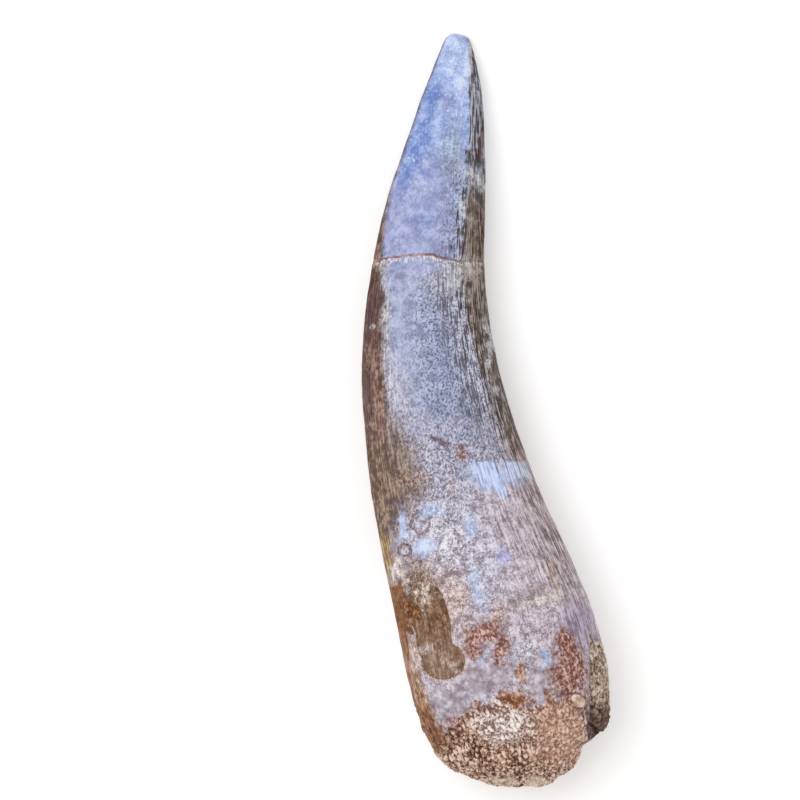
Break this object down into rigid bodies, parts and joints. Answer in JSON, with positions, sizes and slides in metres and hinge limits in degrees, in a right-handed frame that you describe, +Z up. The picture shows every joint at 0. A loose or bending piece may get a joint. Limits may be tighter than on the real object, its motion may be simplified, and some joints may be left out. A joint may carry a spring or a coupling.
{
  "type": "fossil plesiosaur tooth",
  "caption": "Curved conical fossil tooth of a marine reptile, smooth on its outer face and finely ridged inside, with a mended break and a rough broken root, lying on its side.",
  "frame": {"origin": "under the middle of the tooth's box, on the surface that it lies on", "axes": "+Y along the tooth from root to tip, +X towards the hollow side of its bow, +Z up through its smooth outer face"},
  "size_m": [0.0198, 0.0602, 0.013],
  "materials": {
    "fossil_tooth": "satin blue-grey enamel over brown ridged flanks, chalky pink lower crown and rough sandy root"
  },
  "bodies": {
    "root": {"tooth": "fossil_tooth"}
  },
  "joints": []
}
